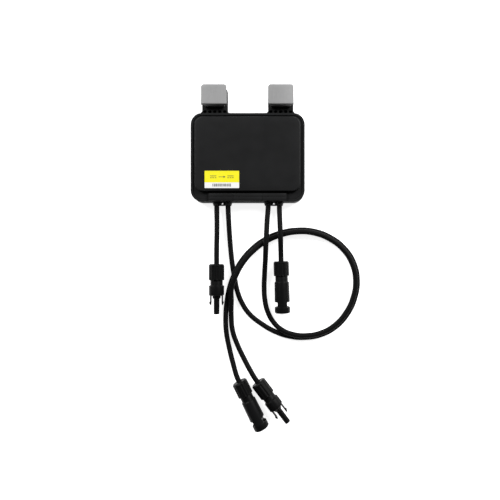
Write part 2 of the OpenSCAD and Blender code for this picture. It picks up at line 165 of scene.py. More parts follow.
def moulded(name, level, rough, shine=0.15, grain=2200, depth=0.00004, edge_wear_and_highlight=0.3):
    """Moulded black plastic: spark-eroded grain, faint flow clouds, convex edges lightened by wear
    and a painted highlight, and glossier edges.
    """
    tint = (0.97, 0.99, 1.03)
    g = Graph(name)
    clouds = g.noise(18, 4)
    specks = g.noise(2600, 2)
    dark, pale = grey(level * 0.88, tint), grey(level * 1.12, tint)
    base = g.mix(g.spread(clouds, 0.3, 0.7, 0, 1), dark, pale)
    base = g.mix(g.spread(specks, 0.62, 0.75, 0, 0.35), base, grey(level * 2.2, tint))
    # Convex edges lightened: partly wear, partly a painted highlight where light would catch them.
    base = g.mix(g.math("MULTIPLY", g.edges(), edge_wear_and_highlight), base, grey(level * 2.6, tint))
    rougher = g.spread(g.noise(60, 3), 0.3, 0.7, rough - 0.06, rough + 0.06)
    rougher = g.math("SUBTRACT", rougher, g.math("MULTIPLY", g.edges(), 0.1))
    g.shade(base_color=base, roughness=rougher, specular_ior_level=shine)
    g.bump((g.cells(grain), 0.35, depth), (g.noise(grain * 0.35, 4), 0.3, depth * 1.5))
    return g.material


def rubber(name, level, rough):
    """Soft black rubber, with a dusty bloom in places."""
    g = Graph(name)
    bloom = g.spread(g.noise(90, 5, rough=0.65), 0.5, 0.75, 0, 0.5)
    base = g.mix(bloom, grey(level, (1, 1, 1.02)), grey(level * 1.9, (1, 0.99, 0.97)))
    rougher = g.spread(g.noise(200, 3), 0.3, 0.7, rough - 0.07, rough + 0.07)
    g.shade(base_color=base, roughness=rougher)
    g.bump((g.noise(3000, 3), 0.3, 0.00003))
    return g.material


def jacket(name, level, rough):
    """A cable's jacket: matt, slightly uneven, with scuffs where it has been handled."""
    g = Graph(name)
    scuffs = g.spread(g.noise(140, 6, rough=0.7), 0.58, 0.72, 0, 0.45)
    base = g.mix(scuffs, grey(level, (1, 1, 1.03)), grey(level * 2.4))
    g.shade(base_color=base, roughness=g.spread(scuffs, 0, 0.45, rough, rough + 0.15))
    g.shade(specular_ior_level=0.07)
    g.bump((g.noise(900, 2), 0.25, 0.00005), (g.noise(4200, 2), 0.2, 0.00002))
    return g.material


def sheet_steel(name, level, rough):
    """Zinc-coated strip: fine rolling lines, small spangles, faint clouds, and a faint painted
    highlight on its edges and bends.
    """
    g = Graph(name)
    lines = g.noise(1600, 4, stretch=(1, 0.06, 1), rough=0.6)
    clouds = g.noise(50, 4)
    dark, pale = grey(level * 0.95, (1, 1, 1.01)), grey(level * 1.03)
    base = g.mix(g.spread(clouds, 0.3, 0.7, 0, 1), dark, pale)
    base = g.mix(g.spread(lines, 0.35, 0.65, 0, 0.25), base, grey(level * 1.3))
    # Painted highlight: convex edges and bends lightened.
    base = g.mix(g.math("MULTIPLY", g.edges(0.53, 0.64), 0.08), base, grey(min(level * 1.6, 0.9)))
    rougher = g.spread(g.noise(220, 5), 0.3, 0.7, rough - 0.08, rough + 0.1)
    g.shade(base_color=base, metallic=0.25, roughness=rougher)
    g.bump((lines, 0.25, 0.00003), (g.cells(700), 0.12, 0.00002))
    return g.material


def plain_metal(name, colour, rough, metallic=1.0):
    """Bare metal with fine turning lines and stains."""
    g = Graph(name)
    dark = tuple(c * 0.8 for c in colour[:3]) + (1,)
    base = g.mix(g.spread(g.noise(120, 4), 0.35, 0.65, 0, 1), dark, colour)
    g.shade(base_color=base, metallic=metallic)
    g.shade(roughness=g.spread(g.noise(400, 3), 0.3, 0.7, rough - 0.05, rough + 0.1))
    g.bump((g.noise(2500, 3, stretch=(1, 1, 0.1)), 0.2, 0.00002))
    return g.material


def printed(name, colour, rough=0.32):
    """Printed film: even ink with a fine mottle and a soft sheen."""
    g = Graph(name)
    pale = tuple(min(1, c * 1.05) for c in colour[:3]) + (1,)
    base = g.mix(g.spread(g.noise(900, 3), 0.4, 0.6, 0, 1), colour, pale)
    rougher = g.spread(g.noise(80, 3), 0.3, 0.7, rough - 0.05, rough + 0.08)
    g.shade(base_color=base, roughness=rougher)
    g.bump((g.noise(300, 2), 0.08, 0.00003))
    return g.material


def solder_mask(name):
    """Green board with paler tracks under the mask."""
    g = Graph(name)
    tracks = g.spread(g.cells(160, (1, 1, 0.01)), 0.42, 0.5, 0, 1)
    base = g.mix(tracks, (0.012, 0.11, 0.045, 1), (0.03, 0.2, 0.08, 1))
    g.shade(base_color=base, roughness=0.35)
    g.bump((tracks, 0.3, 0.00004))
    return g.material


MATERIALS = {
    "housing": moulded("housing_plastic", 0.015, 0.55, 0.06),
    "cover": moulded("cover_plastic", 0.0095, 0.5, edge_wear_and_highlight=0.05),
    "hanger": moulded("hanger_plastic", 0.009, 0.5, edge_wear_and_highlight=0.4),
    "connector": moulded("connector_plastic", 0.004, 0.45, 0.1, 3200, 0.00002, 0.5),
    "collar": moulded("collar_plastic", 0.06, 0.5, 0.3),
    "component": moulded("component_epoxy", 0.02, 0.35, 0.3),
    "ferrite": moulded("ferrite", 0.05, 0.6, 0.3),
    "gland": rubber("gland_rubber", 0.009, 0.6),
    "seal": rubber("seal_rubber", 0.016, 0.65),
    "pad": rubber("pad_silicone", 0.3, 0.6),
    "cable": jacket("cable_jacket", 0.0045, 0.6),
    "clip": sheet_steel("clip_steel", 0.3, 0.58),
    "spring": sheet_steel("spring_steel", 0.45, 0.3),
    "fastener": plain_metal("zinc_plating", (0.6, 0.6, 0.61, 1), 0.3),
    "spreader": plain_metal("bare_aluminium", (0.75, 0.76, 0.77, 1), 0.35),
    "copper": plain_metal("enamelled_copper", (0.6, 0.24, 0.1, 1), 0.3),
    "capacitor": plain_metal("capacitor_sleeve", (0.06, 0.09, 0.16, 1), 0.35, 0.2),
    "can": plain_metal("tinned_shield", (0.68, 0.69, 0.7, 1), 0.28),
    "terminal": plain_metal("tinned_copper", (0.7, 0.66, 0.58, 1), 0.3),
    "board": solder_mask("board_mask"),
    "label": printed("label_white", (0.93, 0.93, 0.92, 1)),
    "yellow": printed("label_yellow", (0.95, 0.87, 0.02, 1)),
    "ink": printed("label_ink", (0.05, 0.05, 0.05, 1), 0.4),
}


# ---------------------------------------------------------------- mesh helpers

def new_object(name, mesh):
    made = bpy.data.objects.new(name, mesh)
    bpy.context.scene.collection.objects.link(made)
    return made


def mesh_object(name, points, faces, smooth_angle=32):
    """An object from points in millimetres, smooth where faces meet at less than smooth_angle."""
    mesh = bpy.data.meshes.new(name)
    mesh.from_pydata([[c * MM for c in p] for p in points], [], faces)
    tidy(mesh, smooth_angle)
    return new_object(name, mesh)


def tidy(mesh, smooth_angle=32):
    """Joins doubled points, turns the faces outwards and smooths all but the sharp edges."""
    bm = bmesh.new()
    bm.from_mesh(mesh)
    bmesh.ops.remove_doubles(bm, verts=bm.verts, dist=1e-7)
    bmesh.ops.dissolve_degenerate(bm, edges=bm.edges, dist=1e-7)
    bmesh.ops.recalc_face_normals(bm, faces=bm.faces)
    for face in bm.faces:
        face.smooth = True
    limit = math.radians(smooth_angle)
    for edge in bm.edges:
        edge.smooth = len(edge.link_faces) == 2 and edge.calc_face_angle(0) < limit
    bm.to_mesh(mesh)
    bm.free()
    mesh.update()


def bake_modifiers(made):
    """Replaces an object's mesh by what its modifiers make of it."""
    graph = bpy.context.evaluated_depsgraph_get()
    mesh = bpy.data.meshes.new_from_object(made.evaluated_get(graph), depsgraph=graph)
    made.modifiers.clear()
    made.data = mesh


def combine(made, added=(), cutters=()):
    """Adds some solids to an object, then cuts others out of it, and removes both."""
    for operation, others in (("UNION", added), ("DIFFERENCE", cutters)):
        for other in others:
            modifier = made.modifiers.new(operation.lower(), "BOOLEAN")
            modifier.object = other
            modifier.operation = operation
            modifier.solver = "MANIFOLD"
    bake_modifiers(made)
    for other in (*added, *cutters):
        bpy.data.objects.remove(other)
    tidy(made.data)


def rounded(outline, radius, steps=4, closed=True):
    """The outline with arcs for corners. radius is one number, or one for each corner."""
    count = len(outline)
    radii = radius if isinstance(radius, (list, tuple)) else [radius] * count
    made = []
    for i, corner in enumerate(outline):
        corner = Vector(corner)
        if radii[i] == 0 or (not closed and i in (0, count - 1)):
            made.append(tuple(corner))
            continue
        before = (Vector(outline[i - 1]) - corner).normalized()
        after = (Vector(outline[(i + 1) % count]) - corner).normalized()
        half = before.angle(after) / 2
        reach = radii[i] / math.tan(half)
        middle = corner + (before + after).normalized() * radii[i] / math.sin(half)
        start, end = corner + before * reach - middle, corner + after * reach - middle
        turn = start.angle_signed(end)
        for k in range(steps + 1):
            angle = -turn * k / steps
            c, s = math.cos(angle), math.sin(angle)
            x, y = start.x * c - start.y * s, start.x * s + start.y * c
            made.append((middle.x + x, middle.y + y))
    return made


def rounded_rect(w, l, r, at=(0, 0), steps=10):
    """Points anticlockwise round a rounded rectangle."""
    points = []
    for quarter, (x, y) in enumerate([(1, 1), (-1, 1), (-1, -1), (1, -1)]):
        for k in range(steps + 1):
            angle = math.radians(90 * quarter + 90 * k / steps)
            points.append((
                at[0] + x * (w / 2 - r) + r * math.cos(angle),
                at[1] + y * (l / 2 - r) + r * math.sin(angle),
            ))
    return points


def loft(name, rings, smooth_angle=32, closed=False):
    """A skin over rings of as many points each, with flat ends unless it is closed on itself."""
    n = len(rings[0])
    points = [p for ring in rings for p in ring]
    faces = []
    for i in range(len(rings) if closed else len(rings) - 1):
        a, b = i * n, (i + 1) % len(rings) * n
        faces += [(a + k, a + (k + 1) % n, b + (k + 1) % n, b + k) for k in range(n)]
    if not closed:
        faces += [tuple(range(n))[::-1], tuple(range((len(rings) - 1) * n, len(rings) * n))]
    return mesh_object(name, points, faces, smooth_angle)


def lathe(name, profile, segments=64, closed=False, shape=None):
    """A profile of (u, radius) pairs turned round X, where shape may change the radius."""
    rings = []
    for u, r in profile:
        ring = []
        for k in range(segments):
            angle = 2 * math.pi * k / segments
            radius = shape(u, r, angle) if shape else r
            ring.append((u, radius * math.cos(angle), radius * math.sin(angle)))
        rings.append(ring)
    return loft(name, rings, closed=closed)


def inset(outline, depth):
    """The anticlockwise outline moved inwards by depth."""
    made = []
    for i, point in enumerate(outline):
        before = Vector(point) - Vector(outline[i - 1])
        after = Vector(outline[(i + 1) % len(outline)]) - Vector(point)
        if before.length < 1e-9:
            before = after
        if after.length < 1e-9:
            after = before
        a = Vector((-before.y, before.x)).normalized()
        b = Vector((-after.y, after.x)).normalized()
        normal = (a + b).normalized()
        made.append(tuple(Vector(point) + normal * depth / max(0.3, normal.dot(a))))
    return made


def prism(name, outline, low, high, edge=0.3, along="Z", steps=3):
    """An anticlockwise outline pushed from low to high, with its end edges rounded.

    It is pushed along X, with an outline of (y, z), or along Z, with an outline of (x, y).
    """
    levels = []
    for k in range(steps + 1):
        angle = math.pi / 2 * k / steps
        levels.append((edge * (1 - math.sin(angle)), edge * (1 - math.cos(angle))))
    heights = [(depth, low + rise) for depth, rise in levels]
    heights += [(depth, high - rise) for depth, rise in reversed(levels)]
    rings = []
    for depth, h in heights:
        flat = inset(outline, depth) if edge else outline
        rings.append([(h, a, b) if along == "X" else (a, b, h) for a, b in flat])
    return loft(name, rings)


# An edge too small to see, for the blocks that cut.
SHARP = 0.0001


def block(name, low, high, edge=0.3, corner=0.3):
    """A cuboid with rounded edges."""
    w, l = high[0] - low[0], high[1] - low[1]
    outline = rounded_rect(w, l, corner, ((low[0] + high[0]) / 2, (low[1] + high[1]) / 2), 3)
    return prism(name, outline, low[2], high[2], edge)


def rod(name, start, end, radius):
    """A plain round bar between two points, used as a cutter."""
    start, end = Vector(start), Vector(end)
    made = lathe(name, [(0, radius), ((end - start).length, radius)], 48)
    turn = Vector((1, 0, 0)).rotation_difference(end - start).to_matrix().to_4x4()
    made.data.transform(Matrix.Translation(start * MM) @ turn)
    return made


def finish_piece(made, material, body, *nodes):
    """Gives a piece its material, its body and the CAD nodes that it stands for."""
    made.data.materials.clear()
    made.data.materials.append(MATERIALS[material])
    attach(made, body)
    if nodes:
        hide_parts(*nodes)
    return made


# ---------------------------------------------------------------- cables

CABLE_R = 3.2
TERMINAL_Y = -52
GLAND_Y = -73
ENTRY_Z = 8
TWIN_X = 7

ROUTES = {
    "short_plug": (-39, [
        (-39, -78, 8), (-38.9, -84, 8.1), (-38.8, -90, 8.2), (-38.7, -96, 8.4),
        (-38.7, -102, 8.6), (-38.7, -108, 8.8), (-38.8, -114, 9), (-38.9, -120, 9.2),
        (-39, -127, 9.4), (-39, -134, 9.5),
    ]),
    "short_socket": (39, [
        (39, -78, 8.4), (39.2, -83.5, 9.8), (39.4, -89, 11.6), (39.6, -94.5, 13.3),
        (39.8, -100, 14.7), (40, -105.5, 15.7), (40.2, -111, 15.7), (40.4, -117, 14.7),
        (40.6, -123, 13), (40.8, -129.5, 11),
    ]),
    "long_socket": (-25, [
        (-24.3, -92, 6.6), (-23.3, -112, 4.2), (-21.8, -131, 3.2), (-19.8, -148, 3.2),
        (-17.2, -163, 3.2), (-13.9, -179.2, 3.2), (-8.1, -193.9, 3.2), (1.2, -207.7, 3.2),
        (15.8, -219.7, 3.2), (33.2, -229.8, 3.2), (52, -236, 3.2), (72, -237.4, 3.2),
        (92, -233.7, 3.2), (110, -223.9, 3.2), (124.5, -208, 3.2), (134.1, -187, 3.2),
        (137.1, -165, 3.2), (132.6, -143.4, 3.2), (120.5, -124.8, 3.2), (103.3, -111.5, 3.2),
        (82.8, -103.8, 3.2), (61, -102.3, 3.2), (40, -106, 3.2), (21, -114, 3.4),
        (4.7, -126.2, 5.8), (-8, -141.1, 9.3), (-16.7, -157.2, 10.4), (-23, -174, 8),
        (-26.9, -192, 3.8), (-28.4, -210, 3.2), (-28, -228, 3.2), (-24.6, -248, 3.2),
        (-18.9, -269, 6.7),
    ]),
    "long_plug": (25, [
        (23.7, -92, 11.8), (23, -108, 15.8), (22.3, -123, 15.9), (21.6, -139, 11.8),
        (20.5, -157, 6.2), (19.8, -174, 3.4), (20.8, -190.4, 3.2), (24.4, -205.1, 3.2),
        (31.4, -217.8, 3.9), (42, -227.1, 7.1), (56, -232.5, 8.9), (72, -233.9, 9.3),
        (91, -230.4, 9.3), (107.6, -221.2, 9.3), (121.4, -206, 9.3), (130.7, -186.3, 9.3),
        (133.6, -165, 9.3), (129.4, -144.8, 9.3), (118.2, -127, 9.3), (101.8, -114.2, 9.3),
        (82, -106.6, 9.3), (61.3, -105.1, 9.3), (41, -108.9, 9.2), (22.5, -116.8, 9.3),
        (6.6, -128.8, 12), (-5.4, -142.8, 15.4), (-14.1, -158.4, 16.5), (-20, -174.5, 14.3),
        (-20.9, -192, 8), (-21.5, -210, 3.5), (-20, -228, 3.2), (-14, -246, 3.2),
        (-5, -264.4, 4.6), (3.5, -279, 8.2),
    ]),
}


def connector_place(name):
    """The connector's own frame: X along its axis from the nut's mouth, Z up."""
    joint = JOINTS[name + "_nut_turn"]
    axis = -Vector(joint["axis"])
    mouth = Vector(joint["pos_m"]) - axis * 10 * MM
    side = Vector((0, 0, 1)).cross(axis)
    turn = Matrix((axis, side, (0, 0, 1))).transposed()
    return Matrix.Translation(mouth) @ turn.to_4x4()


def rest_on_floor(knots):
    """Keeps a smooth curve from dipping into the floor between the points that lie on it."""
    lowest = CABLE_R * MM
    handles = [(knot.handle_left.copy(), knot.handle_right.copy()) for knot in knots]
    for knot, pair in zip(knots, handles):
        knot.handle_left_type = knot.handle_right_type = "FREE"
        for handle in pair:
            handle.z = lowest if knot.co.z < lowest + 0.01 * MM else max(handle.z, lowest)
        knot.handle_left, knot.handle_right = pair


def make_cable(name):
    """A cable from its terminal to inside its connector, and its length in metres."""
    x, route = ROUTES[name]
    place = connector_place(name)
    points = [Vector(p) * MM for p in [(x, TERMINAL_Y, ENTRY_Z), (x, GLAND_Y, ENTRY_Z), *route]]
    points += [place @ Vector((u * MM, 0, 0)) for u in (-5, 0, 16)]
    data = bpy.data.curves.new(name + "_jacket", "CURVE")
    data.dimensions = "3D"
    data.bevel_depth = CABLE_R * MM
    data.bevel_resolution = 6
    data.resolution_u = 10
    data.use_fill_caps = True
    spline = data.splines.new("BEZIER")
    spline.bezier_points.add(len(points) - 1)
    for knot, point in zip(spline.bezier_points, points):
        knot.co = point
        knot.handle_left_type = knot.handle_right_type = "AUTO"
    rest_on_floor(spline.bezier_points)
    made = new_object(name + "_jacket", data)
    finish_piece(made, "cable", "box", name + "_cable")
    return made, spline.calc_length()


CABLES = {name: make_cable(name) for name in ROUTES}


# ---------------------------------------------------------------- box

HOUSING_CORNER = 14
FLANGE_CORNER = 10.8
PANEL_CORNER = 10
TONGUE_HALF, TONGUE_LOW, TONGUE_HIGH = 12, 7.5, 11.9


def corners(node):
    """A CAD node's lowest and highest corners in millimetres."""
    low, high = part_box(node)
    return low / MM, high / MM


def middle_x(node):
    """The place across the box of a CAD node's middle."""
    low, high = corners(node)
    return (low.x + high.x) / 2


def rect_ring(low, high, corner, depth, z):
    """A rounded rectangle between two corners, moved inwards by depth, at height z."""
    w, l = high[0] - low[0], high[1] - low[1]
    middle = ((low[0] + high[0]) / 2, (low[1] + high[1]) / 2)
    flat = rounded_rect(w - 2 * depth, l - 2 * depth, max(corner - depth, 0.2), middle)
    return [(x, y, z) for x, y in flat]


def tray(name, low, high, corner, profile):
    """A skin whose outline stays parallel to one rounded rectangle. profile lists (depth, z)."""
    return loft(name, [rect_ring(low, high, corner, depth, z) for depth, z in profile])


def make_housing():
    """The tray, with a shelf for the cover, openings for glands and tongues, and dimples below."""
    low, high = corners("rear_housing")
    wall, shelf, shelf_z, skin = 3, 5.5, 12.9, 2.5
    profile = rounded(
        [
            (8, 0), (0, 0), (0, high.z), (wall, high.z), (wall, shelf_z), (shelf, shelf_z),
            (shelf, skin), (8, skin),
        ],
        [0, 1.6, 0.9, 0.4, 0.2, 0.3, 1.2, 0], 6, closed=False,
    )
    made = tray("rear_housing_shell", low, high, HOUSING_CORNER, profile)
    cutters = []
    outside, inside = low.y - 1, low.y + 6.5
    bore_r, web_half = 4, 3.7
    for node in ("gland_left", "gland_right"):
        middle = middle_x(node)
        first, last = middle - TWIN_X, middle + TWIN_X
        for x in (first, last):
            cutters.append(rod("cutter", (x, outside, ENTRY_Z), (x, inside, ENTRY_Z), bore_r))
        slot = (first, outside, ENTRY_Z - web_half), (last, inside, ENTRY_Z + web_half)
        cutters.append(block("cutter", *slot, SHARP, SHARP))
    gap = 0.05
    for node in ("hanger_left", "hanger_right"):
        first, last = middle_x(node) - TONGUE_HALF - gap, middle_x(node) + TONGUE_HALF + gap
        socket = (first, high.y - 4, TONGUE_LOW - gap), (last, high.y + 1, TONGUE_HIGH + gap)
        cutters.append(block("cutter", *socket, SHARP, SHARP))
    dimple_r, dimple_depth, from_edge = 3, 0.15, 22
    for x in (-46, 0, 46):
        for y in (low.y + from_edge, high.y - from_edge):
            cutters.append(rod("cutter", (x, y, -1), (x, y, dimple_depth), dimple_r))
    combine(made, cutters=cutters)
    return finish_piece(made, "housing", "box", "rear_housing")


def make_cover():
    """The cover's flange in the rim, with its raised panel."""
    low, high = corners("front_cover")
    step, strip_step, flange_z, skin = 2.3, 8.8, 15, 2.5
    panel_low, panel_high = (low.x + step, low.y + strip_step), (high.x - step, high.y - step)

    def flange(depth, z):
        return rect_ring(low, high, FLANGE_CORNER, depth, z)

    def panel(depth, z):
        return rect_ring(panel_low, panel_high, PANEL_CORNER, depth, z)

    side = rounded(
        [(-1.6, flange_z), (0, flange_z), (0.4, high.z), (9, high.z)],
        [0, 0.4, 1.0, 0], 6, closed=False,
    )
    rings = [panel(skin, high.z - skin), panel(skin, low.z), flange(0, low.z)]
    rings += [flange(0, flange_z - 0.2), flange(0.2, flange_z)]
    rings += [panel(depth, z) for depth, z in side]
    made = loft("front_cover_panel", rings)
    return finish_piece(made, "cover", "box", "front_cover")


def make_strip(node):
    """A snap-on cover over the cable-side edge, with a shallow finger groove along it."""
    low, high = corners(node)
    rim_z = corners("rear_housing")[1].z
    lip, groove = low.y + 2.5, low.y + 5.2
    outline = rounded(
        [
            (low.y, rim_z), (lip, rim_z), (lip, low.z), (high.y, low.z), (high.y, high.z),
            (groove + 0.4, high.z), (groove, high.z - 0.35), (groove - 0.4, high.z),
            (low.y, high.z),
        ],
        [0.2, 0.1, 0.2, 0.2, 0.7, 0.1, 0.1, 0.1, 0.9], 4,
    )
    made = prism(node + "_skin", outline, low.x, high.x, 0.35, "X")
    return finish_piece(made, "cover", "box", node)


def dumbbell(middle, y, r, h):
    """The outline of two round noses of radius r, joined by a web of half-height h, at one y."""
    ring = []
    steps = 28
    meet = math.asin(h / r)
    for x, first in ((TWIN_X, meet - math.pi), (-TWIN_X, meet)):
        for k in range(steps + 1):
            angle = first + 2 * (math.pi - meet) * k / steps
            ring.append((middle + x + r * math.cos(angle), y, ENTRY_Z + r * math.sin(angle)))
    return ring


def make_gland(side):
    """Twin rubber gland: two ringed noses, joined by a web with a three-cornered hole."""
    node = "gland_" + side
    low, high = corners(node)
    middle, wall = middle_x(node), corners("rear_housing")[0].y
    flange = high.y - 2
    profile = rounded(
        [
            (high.y, 4.8), (flange, 4.8), (flange, 3.95), (wall, 3.95), (wall, 5.55),
            (wall - 1, 5.3), (wall - 1.3, 4.75), (wall - 1.6, 5.0), (wall - 2.4, 4.75),
            (wall - 2.7, 4.3), (wall - 3, 4.5), (low.y, 4.2),
        ],
        [0, 0.2, 0.2, 0.2, 0.5, 0.3, 0.1, 0.3, 0.3, 0.1, 0.3, 0], 4, closed=False,
    )
    rings = []
    for y, r in profile:
        if y > flange:
            web = 4.4
        elif y > wall:
            web = min(3.65, r - 0.2)
        else:
            web = 2.6
        rings.append(dumbbell(middle, y, r, web))
    rings.append(dumbbell(middle, low.y, 3.6, 2.3))
    made = loft(node + "_boot", rings, 40)
    hole = [(middle - 1.9, wall - 2.6), (middle + 1.9, wall - 2.6), (middle, wall - 0.1)]
    cutters = [prism("cutter", rounded(hole, 0.4, 3), 0, 16, 0)]
    for x in (-TWIN_X, TWIN_X):
        bore = [(middle + x, y, ENTRY_Z) for y in (low.y - 1, high.y + 1)]
        cutters.append(rod("cutter", *bore, CABLE_R + 0.05))
    combine(made, cutters=cutters)
    return finish_piece(made, "gland", "box", node)


def make_label():
    """White film with a yellow band, bars, and a plain symbol for direct current in and out."""
    low, high = corners("rating_label")
    split, film_z, mark_z = low.y + 6.9, low.z + 0.2, low.z + 0.245

    def film(name, x0, y0, x1, y1, z0, z1, material, corner):
        flat = rounded_rect(x1 - x0, y1 - y0, corner, ((x0 + x1) / 2, (y0 + y1) / 2), 4)
        return finish_piece(prism(name, flat, z0, z1, 0.02, steps=1), material, "box")

    sheet = film("label_film", low.x, low.y, high.x, high.y, low.z, film_z, "label", 0.8)
    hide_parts("rating_label")
    film("label_band", low.x, split, high.x, high.y, film_z, film_z + 0.04, "yellow", 0.8)

    marks = []
    middle = Vector(((low.x + high.x) / 2, (split + high.y) / 2 - 0.3))
    for symbol in (middle.x - 10.5, middle.x + 10.5):
        marks.append((symbol - 3.8, middle.y + 0.7, symbol + 3.8, middle.y + 1.5))
        for dash in (symbol - 2.8, symbol, symbol + 2.8):
            marks.append((dash - 1, middle.y - 1.5, dash + 1, middle.y - 0.7))
    marks.append((middle.x - 4, middle.y - 0.3, middle.x + 2.4, middle.y + 0.3))
    draw = random.Random(4)
    x, last_bar = low.x + 9.5, low.x + 31.5
    while x < last_bar:
        wide = draw.choice((0.3, 0.45, 0.6, 0.9))
        marks.append((x, low.y + 1.9, x + wide, low.y + 5.4))
        x += wide + draw.choice((0.35, 0.5, 0.7))
    points, faces = [], []
    for x0, y0, x1, y1 in marks:
        add_bar(points, faces, [(x0, y0), (x1, y0), (x1, y1), (x0, y1)], film_z, mark_z)
    tip = middle.x + 4.4
    add_bar(
        points, faces, [(tip - 2.4, middle.y - 1.4), (tip, middle.y), (tip - 2.4, middle.y + 1.4)],
        film_z, mark_z,
    )
    finish_piece(mesh_object("label_marks", points, faces), "ink", "box")


def add_bar(points, faces, outline, low, high):
    """Adds one straight-sided mark to a list of points and faces."""
    n, first = len(outline), len(points)
    points += [(x, y, z) for z in (low, high) for x, y in outline]
    below, above = range(first, first + n), range(first + n, first + 2 * n)
    for k in range(n):
        after = (k + 1) % n
        faces.append((below[k], below[after], above[after], above[k]))
    faces += [tuple(above), tuple(reversed(below))]


make_housing()
make_cover()
for strip in ("cable_cover_left", "terminal_cover", "cable_cover_right"):
    make_strip(strip)
for side_name in ("left", "right"):
    make_gland(side_name)
make_label()


# ---------------------------------------------------------------- clips

def make_hanger(side):
    """Black plastic hanger: a plate with five pockets and two undercut rails."""
    node = "hanger_" + side
    low, high = corners(node)
    middle, wall = middle_x(node), corners("rear_housing")[1].y
    half, flare, plate_z = 15.5, 2.4, 14.5
    outline = rounded(
        [
            (-half - flare, wall), (half + flare, wall), (half, wall + flare), (half, high.y),
            (-half, high.y), (-half, wall + flare),
        ],
        [0, 0, 2, 1.2, 1.2, 2], 6,
    )
    outline = [(middle + x, y) for x, y in outline]
    made = prism(node + "_plate", outline, low.z, plate_z, 0.5)
    near = (middle - TONGUE_HALF, low.y, TONGUE_LOW)
    far = (middle + TONGUE_HALF, wall + 0.5, TONGUE_HIGH)
    added = [block("tongue", near, far)]
    root_z, lip_z = plate_z - 0.6, 15.85
    inner, outer, lip = 13.6, half - 0.05, 12.6
    rail = rounded(
        [
            (inner, root_z), (outer, root_z), (outer, high.z), (lip, high.z), (lip, lip_z),
            (inner, lip_z),
        ],
        [0, 0, 0.5, 0.2, 0.15, 0.15], 3,
    )
    for sign in (-1, 1):
        flat = [(middle + sign * x, z) for x, z in rail[::sign]]
        bar = prism("rail", flat, -(high.y - 1.4), -(high.y - 17.3), 0.3)
        bar.data.transform(Matrix.Rotation(math.pi / 2, 4, "X"))
        added.append(bar)
    pockets = []
    pitch, pocket_z = 6.1, 9.5
    for k in range(-2, 3):
        slot = rounded_rect(4.4, 3.2, 1.59, (middle + pitch * k, wall + 1.95), 8)
        pockets.append(prism("cutter", slot, pocket_z, plate_z + 1.5, 0))
    combine(made, added, pockets)
    return finish_piece(made, "hanger", "box", node)


def strip_ring(x, path_point, normal, half, thick, corner=0.3):
    """The cross-section of a bent strip: a rounded rectangle across the strip's path."""
    y, z = path_point
    flat = rounded_rect(2 * half, thick, corner, steps=3)
    return [(x + a, y + normal[0] * b, z + normal[1] * b) for a, b in flat]


def make_clip(side):
    """Steel strip bent into a U: front plate, web and rear leg."""
    node = "clip_" + side
    low, high = corners(node)
    middle, thick, bend = middle_x(node), 1.2, 0.9
    front, back = high.z - thick / 2, low.z + thick / 2
    web, top, leg_end = low.y + thick / 2, high.y, high.y - 4.5
    line = rounded(
        [(top, front), (web, front), (web, back), (leg_end, back)],
        [0, bend, bend, 0], 8, closed=False,
    )
    path = [Vector(line[0])]
    longest = 0.35
    for point in line[1:]:
        start, gap = path[-1], Vector(point) - path[-1]
        steps = max(1, int(gap.length / longest))
        path += [start + gap * (k + 1) / steps for k in range(steps)]
    length = sum((b - a).length for a, b in zip(path, path[1:]))
    rings, run = [], 0.0
    for i, point in enumerate(path):
        if i:
            run += (point - path[i - 1]).length
        ahead = (path[min(i + 1, len(path) - 1)] - path[max(i - 1, 0)]).normalized()
        normal = (-ahead.y, ahead.x)
        half = strip_half(run, length, front - back)
        rings.append(strip_ring(middle, point, normal, half, thick))
    made = loft(node + "_strip", rings, 40)
    return finish_piece(made, "clip", node, node)


def strip_half(run, length, rise):
    """Half the clip's width at a distance along the strip from the front plate's tip."""
    plate, leg, neck = 15.5, 13.5, 12.4
    corner, soft = 3.5, 1.5
    bottom = 22.2 + rise
    neck_from, leg_from = bottom - 3.6, bottom + 2.2
    if run < corner:
        return plate - corner + math.sqrt(max(0, corner**2 - (corner - run - 0.12) ** 2))
    if run < neck_from:
        return plate
    if run < leg_from:
        return neck
    left = length - run
    if left < soft:
        return leg - soft + math.sqrt(max(0, soft**2 - (soft - left - 0.1) ** 2))
    return leg


def make_frame_spring(side):
    """Leaf spring: a curved strip with a rolled tip, on the clip's rear leg."""
    node = "frame_spring_" + side
    middle, pivot = middle_x(node), Vector(JOINTS[node + "_flex"]["pos_m"]) / MM
    tilt, long, bow = 12, 12, 0.12
    c, s = math.cos(math.radians(tilt)), math.sin(math.radians(tilt))
    root_r, tip_r = 0.55, 0.5
    path = []
    for degrees in range(-120, 91, 30):
        a = math.radians(degrees)
        path.append((pivot.y + root_r * math.cos(a), pivot.z + root_r * math.sin(a)))
    steps = 15
    for k in range(1, steps):
        reach = long * k / steps
        arch = bow * math.sin(math.pi * k / steps)
        path.append((pivot.y - reach * c, pivot.z + 0.35 + reach * s + arch))
    tip = (pivot.y - (long - 0.1) * c, pivot.z - 0.1 + long * s)
    for degrees in range(0, 121, 30):
        a = math.radians(90 + tilt + degrees)
        path.append((tip[0] + tip_r * math.cos(a), tip[1] + tip_r * math.sin(a)))
    rings = []
    for i, point in enumerate(path):
        ahead = Vector(path[min(i + 1, len(path) - 1)]) - Vector(path[max(i - 1, 0)])
        ahead.normalize()
        rings.append(strip_ring(middle, point, (-ahead.y, ahead.x), 5, 0.45, 0.12))
    made = loft(node + "_leaf", rings, 40)
    return finish_piece(made, "spring", node, node)


for side_name in ("left", "right"):
    make_hanger(side_name)
    make_clip(side_name)
    make_frame_spring(side_name)


# ---------------------------------------------------------------- connectors

NUT_R, THREAD_R, TUBE_R = 9.5, 7.3, 3.5
SPIGOT_R, CAVITY_R, CONTACT_R = 6.9, 5, 2.6
PITCH = 2


